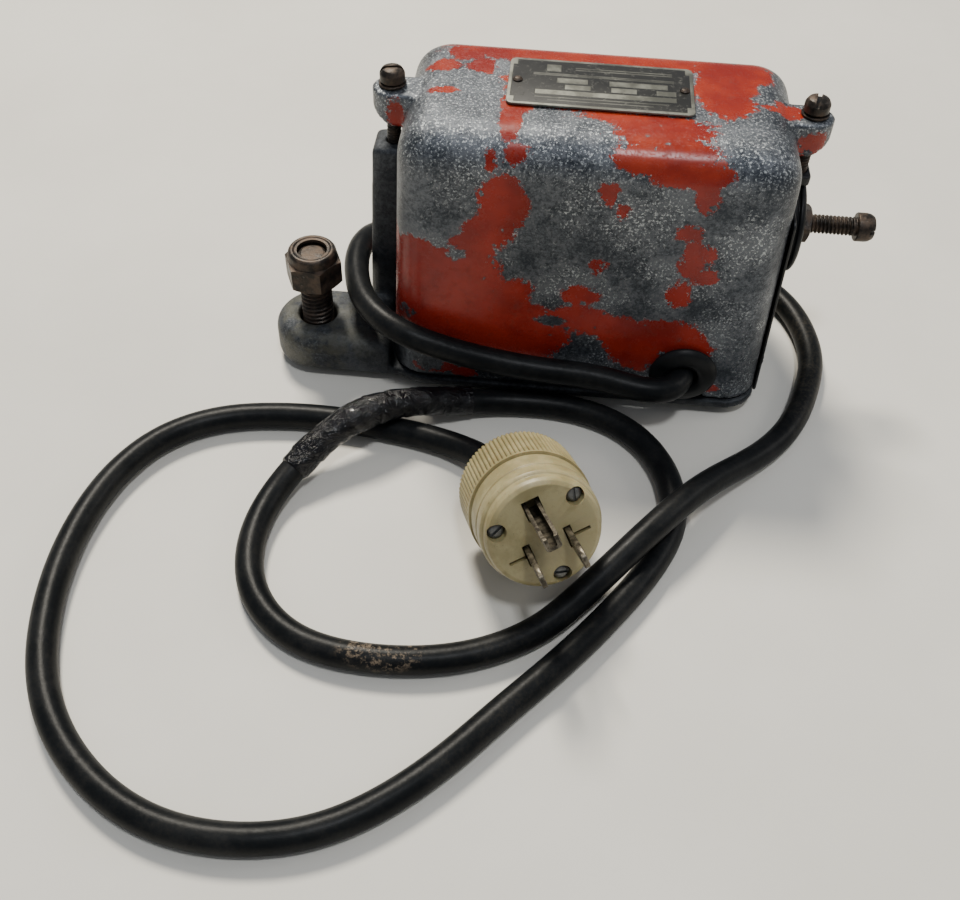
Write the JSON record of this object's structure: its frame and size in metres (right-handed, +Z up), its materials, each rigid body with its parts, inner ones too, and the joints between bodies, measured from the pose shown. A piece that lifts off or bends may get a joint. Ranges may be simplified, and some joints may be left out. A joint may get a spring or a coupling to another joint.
{
  "type": "electromagnetic vibrator",
  "caption": "Small electromagnetic bin vibrator: worn red cast housing with a slotted tuning screw, a side lug with its mounting bolt and nut, and a spliced supply cord with a grounded plug.",
  "frame": {"origin": "middle of the base pad's underside, on the surface the unit stands on", "axes": "+X along the housing towards the adjusting screw, -Y the cord side, +Z up through the nameplate"},
  "size_m": [0.2491, 0.2558, 0.1037],
  "materials": {
    "worn_red_enamel": "worn, chipped to bare metal",
    "cast_aluminium": "rough cast, dull",
    "rusty_steel": "dull, surface rust",
    "spring_steel": "satin",
    "blackened_steel": "black",
    "black_rubber": "matt, dusty",
    "electrical_tape": "semi-gloss, creased",
    "nameplate_metal": "satin, tarnished",
    "core_iron": "stacked sheet edges",
    "wound_copper": "taped and varnished winding",
    "brown_phenolic": "matt",
    "brass": "dull",
    "aged_cream_plastic": "yellowed, grimy",
    "white_insulation": "matt",
    "green_insulation": "matt"
  },
  "bodies": {
    "housing": {"base_casting": "cast_aluminium", "cover_shell": "worn_red_enamel", "nameplate": "nameplate_metal", "nameplate_pin_left": "spring_steel", "nameplate_pin_right": "spring_steel", "lock_washer_left": "rusty_steel", "lock_washer_right": "rusty_steel", "cover_screw_left": "rusty_steel", "cover_screw_right": "rusty_steel", "end_plate": "blackened_steel", "end_plate_screw_front": "blackened_steel", "end_plate_screw_rear": "blackened_steel", "dust_disc": "black_rubber", "core_laminations": "core_iron", "core_bolt_1": "rusty_steel", "core_nut_1": "rusty_steel", "core_bolt_2": "rusty_steel", "core_nut_2": "rusty_steel", "coil_bobbin": "brown_phenolic", "coil_winding": "wound_copper", "spring_clamp_bar": "spring_steel", "clamp_screw_front": "rusty_steel", "clamp_screw_rear": "rusty_steel", "terminal_block": "brown_phenolic", "ground_screw": "brass", "line_lead": "white_insulation", "neutral_lead": "black_rubber", "ground_lead": "green_insulation", "coil_lead_start": "wound_copper", "coil_lead_end": "wound_copper", "cord_grommet": "black_rubber", "plug_body": "aged_cream_plastic", "plug_shell": "aged_cream_plastic", "plug_blade_left": "brass", "plug_blade_right": "brass", "plug_earth_pin": "brass", "plug_screw_1": "spring_steel", "plug_screw_2": "spring_steel", "plug_screw_3": "spring_steel", "supply_cord_upper": "black_rubber", "cord_splice_tape": "electrical_tape", "supply_cord_lower": "black_rubber"},
    "armature": {"armature_laminations": "core_iron", "armature_bracket": "spring_steel", "spring_backing_plate": "spring_steel", "leaf_spring_1": "spring_steel", "leaf_spring_2": "spring_steel", "leaf_spring_3": "spring_steel", "armature_bolt_1": "rusty_steel", "armature_bolt_2": "rusty_steel"},
    "thrust_pad": {"thrust_pad": "brass"},
    "adjusting_screw": {"adjusting_screw": "rusty_steel"},
    "lock_nut": {"adjusting_lock_nut": "rusty_steel"},
    "mounting_bolt": {"mounting_bolt": "rusty_steel", "mounting_nut": "rusty_steel"}
  },
  "joints": [
    {"name": "armature_rock", "type": "hinge", "parent": "housing", "child": "armature", "pos_m": [0.0218, 0, 0.022], "axis": [0, 1, 0], "range_deg": [-1.2, 1.2], "stiffness_Nm_per_rad": 20},
    {"name": "screw_advance", "type": "slide", "parent": "housing", "child": "thrust_pad", "axis": [-1, 0, 0], "range_m": [0, 0.011]},
    {"name": "screw_turn", "type": "hinge", "parent": "thrust_pad", "child": "adjusting_screw", "pos_m": [0.066, 0, 0.058], "axis": [-1, 0, 0], "range_deg": [0, 3120]},
    {"name": "lock_nut_turn", "type": "hinge", "parent": "housing", "child": "lock_nut", "pos_m": [0.0719, 0, 0.058], "axis": [1, 0, 0], "range_deg": [0, 180]},
    {"name": "bolt_slide", "type": "slide", "parent": "housing", "child": "mounting_bolt", "axis": [0, 0, 1], "range_m": [-0.0144, 0]}
  ],
  "couplings": [
    {"joint": "screw_turn", "follows": "screw_advance", "rad_per_m": 4947.4}
  ]
}
